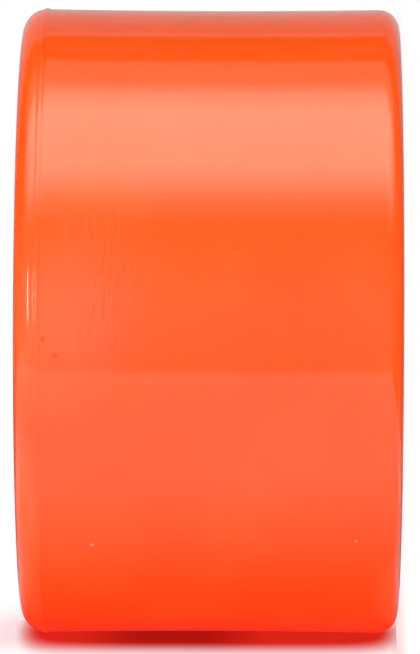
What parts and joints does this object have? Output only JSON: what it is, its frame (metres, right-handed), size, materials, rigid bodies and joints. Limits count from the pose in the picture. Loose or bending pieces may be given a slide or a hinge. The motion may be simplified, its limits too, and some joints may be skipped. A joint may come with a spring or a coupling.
{
  "type": "longboard wheel",
  "caption": "Cast urethane skateboard wheel with rounded lips and dished sides on a spoked moulded core, turning on sealed ball bearings with a spacer.",
  "frame": {"origin": "centre of the wheel, on its axle line and midway between its side faces", "axes": "+Z along the axle line towards the outer face, the one with the larger lip and the mould line; the wheel stands on its inner face, and X and Y lie across the wheel"},
  "size_m": [0.0702, 0.0702, 0.042],
  "materials": {
    "urethane": "gloss",
    "core": "satin",
    "spacer": "satin",
    "steel": "polished",
    "cage": "satin",
    "seal": "satin",
    "ball": "polished"
  },
  "bodies": {
    "hub": {"spacer": "spacer", "front_inner_ring": "steel", "back_inner_ring": "steel"},
    "wheel": {"tyre": "urethane", "core": "core", "front_outer_ring": "steel", "front_face_seal": "seal", "front_inside_seal": "seal", "back_outer_ring": "steel", "back_face_seal": "seal", "back_inside_seal": "seal"},
    "front_cage": {"front_cage": "cage"},
    "front_ball_1": {"front_ball_1": "ball"},
    "front_ball_2": {"front_ball_2": "ball"},
    "front_ball_3": {"front_ball_3": "ball"},
    "front_ball_4": {"front_ball_4": "ball"},
    "front_ball_5": {"front_ball_5": "ball"},
    "front_ball_6": {"front_ball_6": "ball"},
    "front_ball_7": {"front_ball_7": "ball"},
    "back_cage": {"back_cage": "cage"},
    "back_ball_1": {"back_ball_1": "ball"},
    "back_ball_2": {"back_ball_2": "ball"},
    "back_ball_3": {"back_ball_3": "ball"},
    "back_ball_4": {"back_ball_4": "ball"},
    "back_ball_5": {"back_ball_5": "ball"},
    "back_ball_6": {"back_ball_6": "ball"},
    "back_ball_7": {"back_ball_7": "ball"}
  },
  "joints": [
    {"name": "wheel_spin", "type": "hinge", "parent": "hub", "child": "wheel", "pos_m": [0, 0, 0], "axis": [0, 0, 1], "continuous": true},
    {"name": "front_cage_spin", "type": "hinge", "parent": "hub", "child": "front_cage", "pos_m": [0, 0, 0.0085], "axis": [0, 0, 1], "continuous": true},
    {"name": "front_ball_1_roll", "type": "hinge", "parent": "front_cage", "child": "front_ball_1", "pos_m": [0.0075, 0, 0.0085], "axis": [0, 0, 1], "continuous": true},
    {"name": "front_ball_2_roll", "type": "hinge", "parent": "front_cage", "child": "front_ball_2", "pos_m": [0.00468, 0.00586, 0.0085], "axis": [0, 0, 1], "continuous": true},
    {"name": "front_ball_3_roll", "type": "hinge", "parent": "front_cage", "child": "front_ball_3", "pos_m": [-0.00167, 0.00731, 0.0085], "axis": [0, 0, 1], "continuous": true},
    {"name": "front_ball_4_roll", "type": "hinge", "parent": "front_cage", "child": "front_ball_4", "pos_m": [-0.00676, 0.00325, 0.0085], "axis": [0, 0, 1], "continuous": true},
    {"name": "front_ball_5_roll", "type": "hinge", "parent": "front_cage", "child": "front_ball_5", "pos_m": [-0.00676, -0.00325, 0.0085], "axis": [0, 0, 1], "continuous": true},
    {"name": "front_ball_6_roll", "type": "hinge", "parent": "front_cage", "child": "front_ball_6", "pos_m": [-0.00167, -0.00731, 0.0085], "axis": [0, 0, 1], "continuous": true},
    {"name": "front_ball_7_roll", "type": "hinge", "parent": "front_cage", "child": "front_ball_7", "pos_m": [0.00468, -0.00586, 0.0085], "axis": [0, 0, 1], "continuous": true},
    {"name": "back_cage_spin", "type": "hinge", "parent": "hub", "child": "back_cage", "pos_m": [0, 0, -0.0085], "axis": [0, 0, 1], "continuous": true},
    {"name": "back_ball_1_roll", "type": "hinge", "parent": "back_cage", "child": "back_ball_1", "pos_m": [0.0075, 0, -0.0085], "axis": [0, 0, 1], "continuous": true},
    {"name": "back_ball_2_roll", "type": "hinge", "parent": "back_cage", "child": "back_ball_2", "pos_m": [0.00468, 0.00586, -0.0085], "axis": [0, 0, 1], "continuous": true},
    {"name": "back_ball_3_roll", "type": "hinge", "parent": "back_cage", "child": "back_ball_3", "pos_m": [-0.00167, 0.00731, -0.0085], "axis": [0, 0, 1], "continuous": true},
    {"name": "back_ball_4_roll", "type": "hinge", "parent": "back_cage", "child": "back_ball_4", "pos_m": [-0.00676, 0.00325, -0.0085], "axis": [0, 0, 1], "continuous": true},
    {"name": "back_ball_5_roll", "type": "hinge", "parent": "back_cage", "child": "back_ball_5", "pos_m": [-0.00676, -0.00325, -0.0085], "axis": [0, 0, 1], "continuous": true},
    {"name": "back_ball_6_roll", "type": "hinge", "parent": "back_cage", "child": "back_ball_6", "pos_m": [-0.00167, -0.00731, -0.0085], "axis": [0, 0, 1], "continuous": true},
    {"name": "back_ball_7_roll", "type": "hinge", "parent": "back_cage", "child": "back_ball_7", "pos_m": [0.00468, -0.00586, -0.0085], "axis": [0, 0, 1], "continuous": true}
  ],
  "couplings": [
    {"joint": "front_cage_spin", "follows": "wheel_spin", "ratio": 0.6323},
    {"joint": "front_ball_1_roll", "follows": "wheel_spin", "ratio": 1.7573},
    {"joint": "front_ball_2_roll", "follows": "wheel_spin", "ratio": 1.7573},
    {"joint": "front_ball_3_roll", "follows": "wheel_spin", "ratio": 1.7573},
    {"joint": "front_ball_4_roll", "follows": "wheel_spin", "ratio": 1.7573},
    {"joint": "front_ball_5_roll", "follows": "wheel_spin", "ratio": 1.7573},
    {"joint": "front_ball_6_roll", "follows": "wheel_spin", "ratio": 1.7573},
    {"joint": "front_ball_7_roll", "follows": "wheel_spin", "ratio": 1.7573},
    {"joint": "back_cage_spin", "follows": "wheel_spin", "ratio": 0.6323},
    {"joint": "back_ball_1_roll", "follows": "wheel_spin", "ratio": 1.7573},
    {"joint": "back_ball_2_roll", "follows": "wheel_spin", "ratio": 1.7573},
    {"joint": "back_ball_3_roll", "follows": "wheel_spin", "ratio": 1.7573},
    {"joint": "back_ball_4_roll", "follows": "wheel_spin", "ratio": 1.7573},
    {"joint": "back_ball_5_roll", "follows": "wheel_spin", "ratio": 1.7573},
    {"joint": "back_ball_6_roll", "follows": "wheel_spin", "ratio": 1.7573},
    {"joint": "back_ball_7_roll", "follows": "wheel_spin", "ratio": 1.7573}
  ]
}
